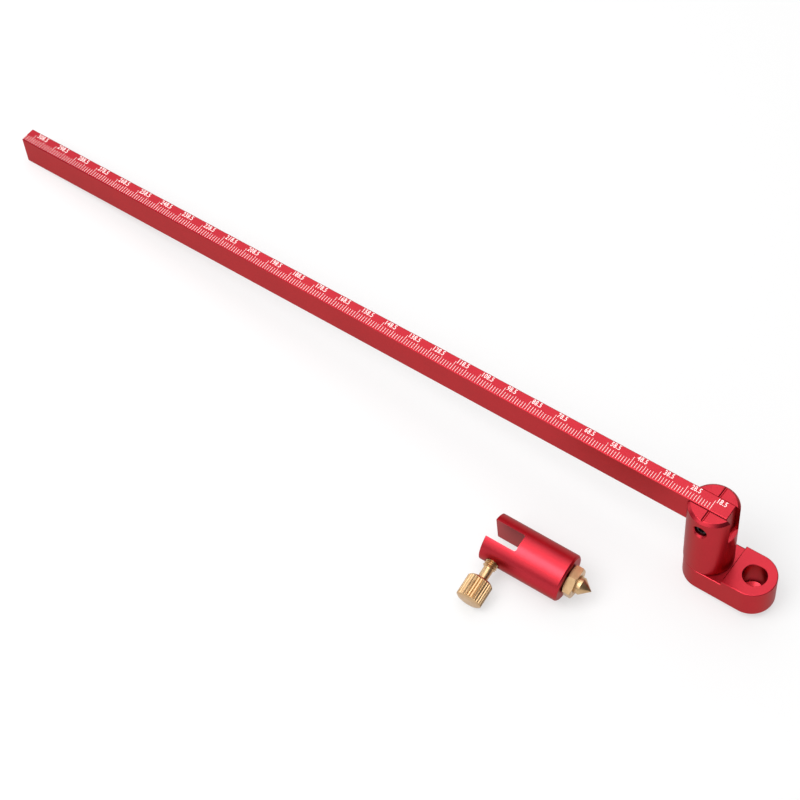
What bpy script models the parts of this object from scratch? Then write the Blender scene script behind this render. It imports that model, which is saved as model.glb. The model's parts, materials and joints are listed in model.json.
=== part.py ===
"""Centre finder ruler with its point slider, as they lie on a table.

A graduated bar is clamped in the slot of a round post. The post stands on a foot that
holds the pencil. The bar's far end and the rim of the foot rest on the table, so the
tool leans a little. The slider that carries the centre point lies beside it.

Lengths are in metres and +Z is up. The origin is the middle of the whole footprint,
on the table.
"""

import math

import bmesh
import bpy
from mathutils import Matrix, Vector

# Gaps between neighbours
SEAT_GAP = 0.0002
THREAD_GAP = 0.0002
CUT_OVERRUN = 0.001

# Graduated bar
BAR_LENGTH = 0.300
BAR_WIDTH = 0.006
BAR_HEIGHT = 0.0115
BAR_CHAMFER = 0.00025
BAR_PAST_AXIS = 0.0063

# Slotted post
POST_DIAMETER = 0.0168
POST_HEIGHT = 0.0291
POST_TOP_CHAMFER = 0.0010
POST_BASE_CHAMFER = 0.0002
BAR_PROUD = 0.0004
BAR_SIDE_GAP = 0.00012
SIGHT_LINE_WIDTH = 0.0013
SIGHT_LINE_DEPTH = 0.0004

# Screw that locks the bar in the post
LOCK_SCREW_DIAMETER = 0.004
LOCK_SCREW_LENGTH = 0.004
LOCK_SCREW_DROP = 0.0058
LOCK_SCREW_CHAMFER = 0.0005
LOCK_SOCKET_ACROSS = 0.002
LOCK_SOCKET_DEPTH = 0.0018
LOCK_MOUTH_CHAMFER = 0.0004

# Foot under the post
FOOT_WIDTH = 0.0164
FOOT_REACH = 0.0162
FOOT_SEAT_HEIGHT = 0.0095
FOOT_PAD_RISE = 0.002
FOOT_STEP_FROM_AXIS = 0.0092
FOOT_CHAMFER = 0.00035
PENCIL_HOLE_DIAMETER = 0.008
PENCIL_HOLE_FROM_AXIS = 0.017
PENCIL_HOLE_CHAMFER = 0.0002

# Screw that holds the foot to the post
FOOT_SCREW_DIAMETER = 0.005
FOOT_SCREW_LENGTH = 0.012
FOOT_SCREW_HEAD_DIAMETER = 0.0085
FOOT_SCREW_HEAD_HEIGHT = 0.005
FOOT_SCREW_CHAMFER = 0.0004
FOOT_SCREW_RECESS = 0.0004
FOOT_SOCKET_ACROSS = 0.004
FOOT_SOCKET_DEPTH = 0.0025
FOOT_SCREW_SPARE_DEPTH = 0.002

# Slider body
SLIDER_DIAMETER = 0.0168
SLIDER_LENGTH = 0.0292
SLIDER_SLOT_SIDE_GAP = 0.00025
SLIDER_SLOT_SHORTFALL = 0.0003
SLIDER_SLOT_CORNER = 0.0007
SLIDER_PRONG_CHAMFER = 0.00012
SLIDER_NOSE_CHAMFER = 0.0006

# Thumb screw that clamps the slider on the bar
THUMB_FROM_END = 0.0051
THUMB_THREAD_DIAMETER = 0.0048
THUMB_THREAD_LENGTH = 0.0069
THUMB_THREAD_CHAMFER = 0.0004
THUMB_NECK_DIAMETER = 0.0035
THUMB_NECK_LENGTH = 0.0045
THUMB_HEAD_DIAMETER = 0.0092
THUMB_HEAD_LENGTH = 0.0087
THUMB_HEAD_CHAMFER = 0.0007
THUMB_HEAD_CROWN = 0.0004
THUMB_CLEAR_OF_SLOT = 0.0002
KNURL_RIBS = 30
KNURL_DEPTH = 0.00025
KNURL_CREST_SHARES = (-0.2, 0.2)
KNURL_VALLEY_SHARES = (0.4, 0.6)

# Centre point and its lock nut
POINT_DIAMETER = 0.006
POINT_SHANK_LENGTH = 0.0125
POINT_SHANK_CHAMFER = 0.0005
POINT_COLLAR_LENGTH = 0.0016
POINT_CONE_LENGTH = 0.0035
POINT_TIP_DIAMETER = 0.0003
POINT_SPARE_DEPTH = 0.0045
NUT_ACROSS_FLATS = 0.010
NUT_THICKNESS = 0.0032
NUT_TURN = math.radians(9.0)
NUT_CORNER_SLOPE = math.radians(30.0)

# Where the slider lies, from the point of the foot's rim that touches the table
SLIDER_ALONG_BAR = -0.05425
SLIDER_BESIDE_BAR = -0.0358
SLIDER_HEADING = math.radians(3.2)

# Fineness of round shapes
LARGE_ROUND_STEPS = 96
SMALL_ROUND_STEPS = 48
HEX_STEPS = 6
QUARTER_ARC_STEPS = 6
SMOOTH_ANGLE = math.radians(35.0)
WELD_DISTANCE = 0.000001
DRILL_TIP_SLOPE = math.radians(31.0)

# Finishes: linear colour, metallic, roughness
RED_ANODISED = ("red_anodised_aluminium", (0.50, 0.012, 0.025), 0.9, 0.38)
BRASS = ("turned_brass", (0.72, 0.50, 0.22), 1.0, 0.28)
BLACK_STEEL = ("black_oxide_steel", (0.02, 0.02, 0.022), 0.9, 0.45)


def post_top():
    """Height of the post's top above the foot's underside."""
    return FOOT_SEAT_HEIGHT + SEAT_GAP + POST_HEIGHT


def bar_bottom():
    """Height of the bar's underside above the foot's underside."""
    return post_top() + BAR_PROUD - BAR_HEIGHT


def post_slot_depth():
    """Depth of the post's slot below the post's top."""
    return BAR_HEIGHT - BAR_PROUD + SEAT_GAP


def slider_slot_half_width():
    """Half the width of the slider's slot, which passes over the bar."""
    return BAR_WIDTH / 2 + SLIDER_SLOT_SIDE_GAP


def slider_slot_depth():
    """Depth of the slider's slot along its axis."""
    return BAR_HEIGHT - SLIDER_SLOT_SHORTFALL


def rim_reach():
    """Distance from the post's axis to the foot's lower rim, inside its chamfer."""
    return FOOT_WIDTH / 2 - FOOT_CHAMFER


def tool_lean():
    """Angle at which the bar's far end and the foot's rim both touch the table."""
    far_contact = BAR_LENGTH - BAR_PAST_AXIS - BAR_CHAMFER
    return math.atan2(bar_bottom(), far_contact - rim_reach())


def thumb_head_end():
    """Distance from the slider's axis to the rim of the thumb screw's outer end."""
    tip = slider_slot_half_width() + THUMB_CLEAR_OF_SLOT
    length = THUMB_THREAD_LENGTH + THUMB_NECK_LENGTH + THUMB_HEAD_LENGTH
    return tip + length - THUMB_HEAD_CHAMFER


def slider_droop():
    """Angle by which the thumb screw hangs down until its head touches the table."""
    head_radius = THUMB_HEAD_DIAMETER / 2
    reach = math.hypot(thumb_head_end(), head_radius)
    return math.asin(SLIDER_DIAMETER / 2 / reach) - math.atan2(head_radius, thumb_head_end())


def clear_scene():
    """Remove every object that the file starts with."""
    for obj in list(bpy.data.objects):
        bpy.data.objects.remove(obj, do_unlink=True)


def make_material(finish):
    """Return a Principled material for one of the finishes above."""
    name, colour, metallic, roughness = finish
    material = bpy.data.materials.new(name)
    material.use_nodes = True
    shader = material.node_tree.nodes["Principled BSDF"]
    shader.inputs["Base Color"].default_value = (*colour, 1.0)
    shader.inputs["Metallic"].default_value = metallic
    shader.inputs["Roughness"].default_value = roughness
    return material


def make_empty(name, parent=None, location=(0, 0, 0), rotation=(0, 0, 0)):
    """Add an empty that carries other objects."""
    empty = bpy.data.objects.new(name, None)
    bpy.context.scene.collection.objects.link(empty)
    empty.parent = parent
    empty.location = location
    empty.rotation_euler = rotation
    return empty


def make_object(name, shape, material, parent, location=(0, 0, 0), rotation=(0, 0, 0)):
    """Turn a bmesh into a named object, shaded smooth between its edges."""
    mesh = bpy.data.meshes.new(name)
    shape.to_mesh(mesh)
    shape.free()
    mesh.materials.append(material)
    mesh.shade_smooth()
    mesh.set_sharp_from_angle(angle=SMOOTH_ANGLE)
    obj = bpy.data.objects.new(name, mesh)
    bpy.context.scene.collection.objects.link(obj)
    obj.parent = parent
    obj.location = location
    obj.rotation_euler = rotation
    return obj


def combine(target, name, shape, operation, location=(0, 0, 0), rotation=(0, 0, 0)):
    """Cut the target with a shape, or keep what lies inside it, in the target's frame."""
    tool = make_object(name, shape, target.data.materials[0], target, location, rotation)
    tool.hide_render = True
    tool.display_type = "WIRE"
    modifier = target.modifiers.new(name, "BOOLEAN")
    modifier.operation = operation
    modifier.solver = "EXACT"
    modifier.object = tool


def cut(target, name, shape, location=(0, 0, 0), rotation=(0, 0, 0)):
    """Cut a shape out of the target."""
    combine(target, name, shape, "DIFFERENCE", location, rotation)


def turned(profile, steps):
    """Turn a profile of (radius, height) points, lowest first, about Z."""
    shape = bmesh.new()
    points = [shape.verts.new((radius, 0, height)) for radius, height in profile]
    edges = [shape.edges.new(pair) for pair in zip(points, points[1:])]
    bmesh.ops.spin(shape, geom=points + edges, cent=(0, 0, 0), axis=(0, 0, 1),
                   angle=math.tau, steps=steps, use_merge=True)
    bmesh.ops.remove_doubles(shape, verts=shape.verts, dist=WELD_DISTANCE)
    bmesh.ops.recalc_face_normals(shape, faces=shape.faces)
    return shape


def rod(radius, low, high, steps, low_chamfer=0, high_chamfer=0):
    """Return a turned rod from one height to another, with a chamfer at either end."""
    profile = [(0, low), (radius - low_chamfer, low)]
    if low_chamfer:
        profile.append((radius, low + low_chamfer))
    if high_chamfer:
        profile.append((radius, high - high_chamfer))
    profile += [(radius - high_chamfer, high), (0, high)]
    return turned(profile, steps)


def prism(outline, low, high):
    """Raise a flat outline of (x, y) points, counter-clockwise, between two heights."""
    shape = bmesh.new()
    base = shape.faces.new([shape.verts.new((x, y, low)) for x, y in outline])
    raised = bmesh.ops.extrude_face_region(shape, geom=[base])["geom"]
    top = [item for item in raised if isinstance(item, bmesh.types.BMVert)]
    bmesh.ops.translate(shape, vec=(0, 0, high - low), verts=top)
    bmesh.ops.recalc_face_normals(shape, faces=shape.faces)
    return shape


def rectangle(x_low, x_high, y_low, y_high):
    """Return the outline of a rectangle, counter-clockwise."""
    return [(x_low, y_low), (x_high, y_low), (x_high, y_high), (x_low, y_high)]


def arc(centre_x, centre_y, radius, start, sweep, steps):
    """Return points on an arc, both ends included."""
    angles = [start + sweep * step / steps for step in range(steps + 1)]
    return [(centre_x + radius * math.cos(angle), centre_y + radius * math.sin(angle))
            for angle in angles]


def hexagon_radius(across_flats):
    """Return the corner radius of a hexagon from its width across flats."""
    return across_flats / 2 / math.cos(math.pi / HEX_STEPS)


def hex_socket(across_flats, depth):
    """Return a cutter for a hexagon socket that opens upwards at height zero."""
    radius = hexagon_radius(across_flats)
    tip = radius * math.tan(DRILL_TIP_SLOPE)
    profile = [(0, -depth - tip), (radius, -depth), (radius, CUT_OVERRUN), (0, CUT_OVERRUN)]
    return turned(profile, HEX_STEPS)


def build_bar(tool, material):
    """Build the bar, a chamfered flat that lies in the post's slot."""
    near = BAR_PAST_AXIS
    half = BAR_WIDTH / 2
    shape = prism(rectangle(near - BAR_LENGTH, near, -half, half), 0, BAR_HEIGHT)
    bmesh.ops.bevel(shape, geom=shape.edges, offset=BAR_CHAMFER, affect="EDGES",
                    offset_type="OFFSET", segments=1, profile=0.5, clamp_overlap=True)
    make_object("bar", shape, material, tool, location=(0, 0, bar_bottom()))


def build_post(tool, material):
    """Build the post: a round column slotted for the bar and drilled for both screws."""
    radius = POST_DIAMETER / 2
    post = make_object(
        "post",
        rod(radius, 0, POST_HEIGHT, LARGE_ROUND_STEPS, POST_BASE_CHAMFER, POST_TOP_CHAMFER),
        material, tool, location=(0, 0, FOOT_SEAT_HEIGHT + SEAT_GAP))
    end = radius + CUT_OVERRUN
    above = POST_HEIGHT + CUT_OVERRUN
    slot_half = BAR_WIDTH / 2 + BAR_SIDE_GAP
    cut(post, "bar_slot",
        prism(rectangle(-end, end, -slot_half, slot_half), POST_HEIGHT - post_slot_depth(), above))
    line_half = SIGHT_LINE_WIDTH / 2
    cut(post, "sight_line",
        prism(rectangle(-line_half, line_half, -end, end), POST_HEIGHT - SIGHT_LINE_DEPTH, above))
    cut(post, "lock_screw_hole", lock_screw_bore(radius, end),
        location=(0, 0, POST_HEIGHT - LOCK_SCREW_DROP), rotation=(math.pi / 2, 0, 0))
    cut(post, "foot_screw_hole", foot_screw_bore())


def lock_screw_bore(post_radius, end):
    """Return the cutter for the hole of the lock screw, along Z from the slot outwards."""
    bore = LOCK_SCREW_DIAMETER / 2 + THREAD_GAP
    flat_depth = post_radius - math.sqrt(post_radius ** 2 - bore ** 2)
    mouth = post_radius - flat_depth - LOCK_MOUTH_CHAMFER
    wide = bore + end - mouth
    return turned([(0, 0), (bore, 0), (bore, mouth), (wide, end), (0, end)], SMALL_ROUND_STEPS)


def foot_screw_depth():
    """Length of the foot screw that stands in the post."""
    screw_top = FOOT_SCREW_RECESS + FOOT_SCREW_HEAD_HEIGHT + FOOT_SCREW_LENGTH
    return screw_top - FOOT_SEAT_HEIGHT - SEAT_GAP


def foot_screw_bore():
    """Return the cutter for the blind hole in the post's base, with its drilled tip."""
    bore = FOOT_SCREW_DIAMETER / 2 + THREAD_GAP
    depth = foot_screw_depth() + FOOT_SCREW_SPARE_DEPTH
    tip = depth + bore * math.tan(DRILL_TIP_SLOPE)
    profile = [(0, -CUT_OVERRUN), (bore, -CUT_OVERRUN), (bore, depth), (0, tip)]
    return turned(profile, SMALL_ROUND_STEPS)


def build_lock_screw(tool, material):
    """Build the headless screw that presses on the bar's side, its socket outwards."""
    inner = BAR_WIDTH / 2 + SEAT_GAP
    screw = make_object(
        "bar_lock_screw",
        rod(LOCK_SCREW_DIAMETER / 2, -LOCK_SCREW_LENGTH, 0, SMALL_ROUND_STEPS,
            LOCK_SCREW_CHAMFER, LOCK_SCREW_CHAMFER / 2),
        material, tool,
        location=(0, -inner - LOCK_SCREW_LENGTH, post_top() - LOCK_SCREW_DROP),
        rotation=(math.pi / 2, 0, 0))
    cut(screw, "lock_socket", hex_socket(LOCK_SOCKET_ACROSS, LOCK_SOCKET_DEPTH))


def foot_blank():
    """Return the foot's body: a rounded plate with a low seat and a raised pad."""
    radius = FOOT_WIDTH / 2
    step = FOOT_STEP_FROM_AXIS
    turns = LARGE_ROUND_STEPS // 2
    seat = arc(0, 0, radius, math.pi / 2, math.pi, turns)
    pad = arc(FOOT_REACH, 0, radius, -math.pi / 2, math.pi, turns)
    pad_top = FOOT_SEAT_HEIGHT + FOOT_PAD_RISE
    shape = bmesh.new()
    low_ring = [shape.verts.new((x, y, 0)) for x, y in seat + pad]
    seat_ring = [shape.verts.new((x, y, FOOT_SEAT_HEIGHT)) for x, y in seat]
    pad_ring = [shape.verts.new((x, y, pad_top)) for x, y in pad]
    corners = [(step, -radius), (step, radius)]
    inner = [shape.verts.new((x, y, FOOT_SEAT_HEIGHT)) for x, y in corners]
    outer = [shape.verts.new((x, y, pad_top)) for x, y in corners]
    low_seat = low_ring[:len(seat)]
    low_pad = low_ring[len(seat):]
    shape.faces.new(low_ring)
    shape.faces.new(seat_ring + inner)
    shape.faces.new([outer[0]] + pad_ring + [outer[1]])
    shape.faces.new([inner[0], inner[1], outer[1], outer[0]])
    for low, high in ((low_seat, seat_ring), (low_pad, pad_ring)):
        for index in range(len(low) - 1):
            shape.faces.new([low[index], low[index + 1], high[index + 1], high[index]])
    shape.faces.new([low_seat[-1], low_pad[0], pad_ring[0], outer[0], inner[0], seat_ring[-1]])
    shape.faces.new([low_pad[-1], low_seat[0], seat_ring[0], inner[1], outer[1], pad_ring[-1]])
    bmesh.ops.recalc_face_normals(shape, faces=shape.faces)
    return shape


def chamfer_level_rims(shape, width):
    """Chamfer every level edge of a body at the rim of its flat faces."""
    rims = []
    for edge in shape.edges:
        level = abs(edge.verts[0].co.z - edge.verts[1].co.z) < WELD_DISTANCE
        flats = [abs(face.normal.z) > math.cos(SMOOTH_ANGLE) for face in edge.link_faces]
        if level and any(flats) and edge.is_convex:
            rims.append(edge)
    bmesh.ops.bevel(shape, geom=rims, offset=width, affect="EDGES", offset_type="OFFSET",
                    segments=1, profile=0.5, clamp_overlap=False)


def build_foot(tool, material):
    """Build the foot, with the pencil hole in its pad and the screw hole in its seat."""
    shape = foot_blank()
    chamfer_level_rims(shape, FOOT_CHAMFER)
    foot = make_object("foot", shape, material, tool)
    top = FOOT_SEAT_HEIGHT + FOOT_PAD_RISE
    cut(foot, "pencil_hole", chamfered_through_hole(PENCIL_HOLE_DIAMETER / 2, top),
        location=(PENCIL_HOLE_FROM_AXIS, 0, 0))
    head = FOOT_SCREW_HEAD_DIAMETER / 2 + SEAT_GAP
    shoulder = FOOT_SCREW_RECESS + FOOT_SCREW_HEAD_HEIGHT + SEAT_GAP
    bore = FOOT_SCREW_DIAMETER / 2 + THREAD_GAP
    above = FOOT_SEAT_HEIGHT + CUT_OVERRUN
    profile = [(0, -CUT_OVERRUN), (head, -CUT_OVERRUN), (head, shoulder), (bore, shoulder),
               (bore, above), (0, above)]
    cut(foot, "screw_counterbore", turned(profile, SMALL_ROUND_STEPS))


def chamfered_through_hole(radius, height):
    """Return the cutter for a hole through a plate, chamfered at both mouths."""
    reach = PENCIL_HOLE_CHAMFER + CUT_OVERRUN
    profile = [(0, -CUT_OVERRUN), (radius + reach, -CUT_OVERRUN), (radius, PENCIL_HOLE_CHAMFER),
               (radius, height - PENCIL_HOLE_CHAMFER), (radius + reach, height + CUT_OVERRUN),
               (0, height + CUT_OVERRUN)]
    return turned(profile, LARGE_ROUND_STEPS)


def build_foot_screw(tool, material):
    """Build the socket-head screw that comes up through the foot into the post."""
    head = FOOT_SCREW_HEAD_DIAMETER / 2
    shank = FOOT_SCREW_DIAMETER / 2
    length = FOOT_SCREW_HEAD_HEIGHT + FOOT_SCREW_LENGTH
    profile = [(0, 0), (head - FOOT_SCREW_CHAMFER, 0), (head, FOOT_SCREW_CHAMFER),
               (head, FOOT_SCREW_HEAD_HEIGHT), (shank, FOOT_SCREW_HEAD_HEIGHT),
               (shank, length - FOOT_SCREW_CHAMFER), (shank - FOOT_SCREW_CHAMFER, length),
               (0, length)]
    screw = make_object("foot_screw", turned(profile, SMALL_ROUND_STEPS), material, tool,
                        location=(0, 0, FOOT_SCREW_RECESS))
    cut(screw, "foot_screw_socket", hex_socket(FOOT_SOCKET_ACROSS, FOOT_SOCKET_DEPTH),
        rotation=(math.pi, 0, 0))


def build_slider_body(slider, material):
    """Build the slider's body: a round bar slotted at one end and tapped at the other."""
    radius = SLIDER_DIAMETER / 2
    body = make_object(
        "slider_body",
        rod(radius, 0, SLIDER_LENGTH, LARGE_ROUND_STEPS, SLIDER_PRONG_CHAMFER,
            SLIDER_NOSE_CHAMFER),
        material, slider, rotation=(0, math.pi / 2, 0))
    half = slider_slot_half_width()
    depth = slider_slot_depth()
    corner = SLIDER_SLOT_CORNER
    outline = [(-CUT_OVERRUN, -half)]
    outline += arc(depth - corner, corner - half, corner, -math.pi / 2, math.pi / 2,
                   QUARTER_ARC_STEPS)
    outline += arc(depth - corner, half - corner, corner, 0, math.pi / 2, QUARTER_ARC_STEPS)
    outline.append((-CUT_OVERRUN, half))
    end = radius + CUT_OVERRUN
    cut(body, "slider_slot", prism(outline, -end, end), rotation=(0, -math.pi / 2, 0))
    thread = THUMB_THREAD_DIAMETER / 2 + THREAD_GAP
    cut(body, "thumb_screw_hole", rod(thread, 0, end, SMALL_ROUND_STEPS),
        location=(0, 0, THUMB_FROM_END), rotation=(math.pi / 2, 0, 0))
    cut(body, "point_hole", point_bore(), location=(0, 0, SLIDER_LENGTH))


def point_bore():
    """Return the cutter for the blind tapped hole of the centre point."""
    bore = POINT_DIAMETER / 2 + THREAD_GAP
    depth = POINT_SHANK_LENGTH - NUT_THICKNESS - SEAT_GAP + POINT_SPARE_DEPTH
    tip = depth + bore * math.tan(DRILL_TIP_SLOPE)
    profile = [(0, -tip), (bore, -depth), (bore, CUT_OVERRUN), (0, CUT_OVERRUN)]
    return turned(profile, SMALL_ROUND_STEPS)


def knurled_ring(radius, depth, height):
    """Return one ring of points round Z, two high and two low for each rib.

    A depth of zero gives a plain circle with the same number of points.
    """
    crest = [(share, radius) for share in KNURL_CREST_SHARES]
    valley = [(share, radius - depth) for share in KNURL_VALLEY_SHARES]
    points = []
    for rib in range(KNURL_RIBS):
        for share, reach in crest + valley:
            angle = math.tau * (rib + share) / KNURL_RIBS
            points.append(Vector((reach * math.cos(angle), reach * math.sin(angle), height)))
    return points


def lofted(rings):
    """Skin a stack of rings, lowest first, and close both ends."""
    shape = bmesh.new()
    loops = [[shape.verts.new(point) for point in ring] for ring in rings]
    for low, high in zip(loops, loops[1:]):
        for index in range(len(low)):
            following = (index + 1) % len(low)
            shape.faces.new([low[index], low[following], high[following], high[index]])
    shape.faces.new(list(reversed(loops[0])))
    shape.faces.new(loops[-1])
    bmesh.ops.recalc_face_normals(shape, faces=shape.faces)
    return shape


def build_thumb_screw(slider, material):
    """Build the thumb screw: a plain thread, a thin neck and a knurled head."""
    thread = THUMB_THREAD_DIAMETER / 2
    neck = THUMB_NECK_DIAMETER / 2
    head = THUMB_HEAD_DIAMETER / 2
    crown = THUMB_HEAD_CROWN
    chamfer = THUMB_HEAD_CHAMFER
    neck_start = THUMB_THREAD_LENGTH
    head_start = neck_start + THUMB_NECK_LENGTH
    head_end = head_start + THUMB_HEAD_LENGTH
    rings = [
        knurled_ring(thread - THUMB_THREAD_CHAMFER, 0, 0),
        knurled_ring(thread, 0, THUMB_THREAD_CHAMFER),
        knurled_ring(thread, 0, neck_start - THUMB_THREAD_CHAMFER),
        knurled_ring(neck, 0, neck_start),
        knurled_ring(neck, 0, head_start),
        knurled_ring(head - chamfer, 0, head_start),
        knurled_ring(head, KNURL_DEPTH, head_start + chamfer),
        knurled_ring(head, KNURL_DEPTH, head_end - chamfer),
        knurled_ring(head - chamfer, 0, head_end - crown / 2),
        knurled_ring(head / 2, 0, head_end),
    ]
    start = slider_slot_half_width() + THUMB_CLEAR_OF_SLOT
    make_object("thumb_screw", lofted(rings), material, slider,
                location=(THUMB_FROM_END, -start, 0),
                rotation=(math.pi / 2, 0, 0))


def build_centre_point(slider, material):
    """Build the centre point: a threaded shank, a short collar and a sharp cone."""
    radius = POINT_DIAMETER / 2
    tip = POINT_TIP_DIAMETER / 2
    low = NUT_THICKNESS + SEAT_GAP - POINT_SHANK_LENGTH
    shoulder = NUT_THICKNESS + SEAT_GAP + POINT_COLLAR_LENGTH
    profile = [(0, low), (radius - POINT_SHANK_CHAMFER, low), (radius, low + POINT_SHANK_CHAMFER),
               (radius, shoulder), (tip, shoulder + POINT_CONE_LENGTH - tip),
               (0, shoulder + POINT_CONE_LENGTH)]
    make_object("centre_point", turned(profile, SMALL_ROUND_STEPS), material, slider,
                location=(SLIDER_LENGTH, 0, 0), rotation=(0, math.pi / 2, 0))


def build_lock_nut(slider, material):
    """Build the hexagon nut that locks the centre point against the slider."""
    corner = hexagon_radius(NUT_ACROSS_FLATS)
    flat = NUT_ACROSS_FLATS / 2
    fall = (corner - flat) * math.tan(NUT_CORNER_SLOPE)
    low = SEAT_GAP
    high = low + NUT_THICKNESS
    blank = turned([(0, low), (corner, low), (corner, high), (0, high)], HEX_STEPS)
    bmesh.ops.rotate(blank, cent=(0, 0, 0), matrix=Matrix.Rotation(NUT_TURN, 3, "Z"),
                     verts=blank.verts)
    nut = make_object("point_lock_nut", blank, material, slider,
                      location=(SLIDER_LENGTH, 0, 0), rotation=(0, math.pi / 2, 0))
    beyond = corner + CUT_OVERRUN
    reach = fall + CUT_OVERRUN * math.tan(NUT_CORNER_SLOPE)
    envelope = [(0, low - CUT_OVERRUN), (flat, low - CUT_OVERRUN), (flat, low),
                (beyond, low + reach), (beyond, high - reach), (flat, high),
                (flat, high + CUT_OVERRUN), (0, high + CUT_OVERRUN)]
    combine(nut, "corner_chamfer", turned(envelope, LARGE_ROUND_STEPS), "INTERSECT")
    bore = POINT_DIAMETER / 2 + THREAD_GAP
    cut(nut, "nut_bore", rod(bore, low - CUT_OVERRUN, high + CUT_OVERRUN, SMALL_ROUND_STEPS))


def centre_on_footprint(table):
    """Move everything so that the origin is the middle of the footprint."""
    bpy.context.view_layer.update()
    depsgraph = bpy.context.evaluated_depsgraph_get()
    corners = []
    for obj in bpy.data.objects:
        if obj.type == "MESH" and not obj.hide_render:
            solid = obj.evaluated_get(depsgraph)
            corners += [solid.matrix_world @ vertex.co for vertex in solid.data.vertices]
    for axis in (0, 1):
        values = [corner[axis] for corner in corners]
        table.location[axis] -= (min(values) + max(values)) / 2


def main():
    """Build every piece and lay the two assemblies on the table."""
    clear_scene()
    red = make_material(RED_ANODISED)
    brass = make_material(BRASS)
    black = make_material(BLACK_STEEL)
    table = make_empty("table")
    lean = tool_lean()
    rim = rim_reach()
    tool = make_empty("tool", table, location=(rim * math.cos(lean), 0, rim * math.sin(lean)),
                      rotation=(0, -lean, 0))
    slider = make_empty("slider", table,
                        location=(SLIDER_ALONG_BAR, SLIDER_BESIDE_BAR, SLIDER_DIAMETER / 2),
                        rotation=(slider_droop(), 0, SLIDER_HEADING))
    build_bar(tool, red)
    build_post(tool, red)
    build_lock_screw(tool, black)
    build_foot(tool, red)
    build_foot_screw(tool, black)
    build_slider_body(slider, red)
    build_thumb_screw(slider, brass)
    build_centre_point(slider, brass)
    build_lock_nut(slider, brass)
    centre_on_footprint(table)


main()
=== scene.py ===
"""Looks of a centre finder ruler and its point slider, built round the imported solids.

The tool is a red anodised bar with a white scale, clamped in a slotted post on a foot
that holds the pencil. The slider lies beside it, with its brass thumb screw, centre
point and lock nut. Lengths are in metres. The tool's pieces are built in a frame whose
Z is the post's axis and whose X runs along the bar, and the slider's pieces in a frame
whose X runs along the slider to its point.
"""

from __future__ import annotations

import json
import logging
import math
from dataclasses import dataclass
from enum import Enum
from typing import Sequence

import bmesh
import bpy
from mathutils import Matrix, Vector


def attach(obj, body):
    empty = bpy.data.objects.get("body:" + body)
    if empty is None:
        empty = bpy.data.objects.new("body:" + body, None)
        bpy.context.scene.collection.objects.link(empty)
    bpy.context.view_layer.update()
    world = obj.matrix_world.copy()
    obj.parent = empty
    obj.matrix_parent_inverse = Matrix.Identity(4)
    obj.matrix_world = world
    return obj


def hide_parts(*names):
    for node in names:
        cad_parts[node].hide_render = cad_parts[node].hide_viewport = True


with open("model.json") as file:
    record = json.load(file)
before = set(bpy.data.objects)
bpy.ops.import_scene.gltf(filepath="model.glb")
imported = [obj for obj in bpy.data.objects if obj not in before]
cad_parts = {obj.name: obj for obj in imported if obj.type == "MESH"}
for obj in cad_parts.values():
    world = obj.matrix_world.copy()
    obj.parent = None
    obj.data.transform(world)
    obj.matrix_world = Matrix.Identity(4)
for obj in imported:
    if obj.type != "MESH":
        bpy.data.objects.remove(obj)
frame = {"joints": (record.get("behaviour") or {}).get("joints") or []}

LOG = logging.getLogger("centre_finder")

MM = 0.001
QUARTER_TURN = math.pi / 2
HEX_SIDES = 6

# Fineness of the meshes
LARGE_STEPS = 240
SMALL_STEPS = 96
CORNER_STEPS = 12
RIM_STEPS = 3
EASE_STEPS = 2
LETTER_STEPS = 4
SMOOTH_ANGLE = math.radians(32.0)
EASED_ANGLE = math.radians(40.0)
FLAT_ANGLE = math.radians(0.2)
WELD = 0.001 * MM
CUT_WELD = 5 * WELD
OVERRUN = 1.0 * MM
MOST_ROUNDED = 0.45

# Turns of a cutter: none, or its X, Y and Z become its piece's Y, Z and X, or X, Z and -Y
UPRIGHT = Matrix.Identity(4)
ALONG_X = Matrix(((0, 0, 1, 0), (1, 0, 0, 0), (0, 1, 0, 0), (0, 0, 0, 1)))
ALONG_Y = Matrix.Rotation(QUARTER_TURN, 4, "X")

# Depth of a standard thread, as a share of its pitch
THREAD_DEPTH = 0.61

# Blender's names for the nodes that are used most
MATH = "ShaderNodeMath"
VECTOR = "ShaderNodeCombineXYZ"
NOISE = "ShaderNodeTexNoise"
SPREAD = "ShaderNodeMapRange"
MIX = "ShaderNodeMix"

# Middle part of a noise, which is spread over the whole range, and its fineness
NOISE_LOW, NOISE_HIGH = 0.3, 0.7
MARK_DETAIL, GRAIN_DETAIL, CLOUD_DETAIL = 2.0, 4.0, 3.0

# Every fifth mark of the scale is longer, and every tenth is longer still
MIDDLE_EVERY, LONG_EVERY = 5.0, 10.0

PURE_WHITE = "#FFFFFF"

Profile = Sequence[tuple[float, float]]
Inputs = dict[str, object] | Sequence[object]


# Placing


@dataclass(frozen=True)
class Placement:
    """The frame that a piece is built in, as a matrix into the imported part's frame."""

    matrix: Matrix

    @classmethod
    def from_axes(cls, origin: Vector, along: Vector, up: Vector) -> Placement:
        """Make a placement from its origin, its X axis and its Z axis.

        Args:
            origin: Origin of the frame.
            along: Direction of its X axis.
            up: Direction of its Z axis.

        Returns:
            The placement.
        """
        side = up.cross(along)
        turn = Matrix((along, side, up)).transposed()
        return cls(Matrix.Translation(origin) @ turn.to_4x4())

    def moved(self, x: float = 0.0, y: float = 0.0, z: float = 0.0) -> Placement:
        """Return this placement moved along its own axes."""
        return Placement(self.matrix @ Matrix.Translation((x, y, z)))

    def turned(self, angle: float, axis: str) -> Placement:
        """Return this placement turned about one of its own axes."""
        return Placement(self.matrix @ Matrix.Rotation(angle, 4, axis))


def joint(name: str) -> dict:
    """Return the record's row for a joint."""
    return next(row for row in frame["joints"] if row["name"] == name)


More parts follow.
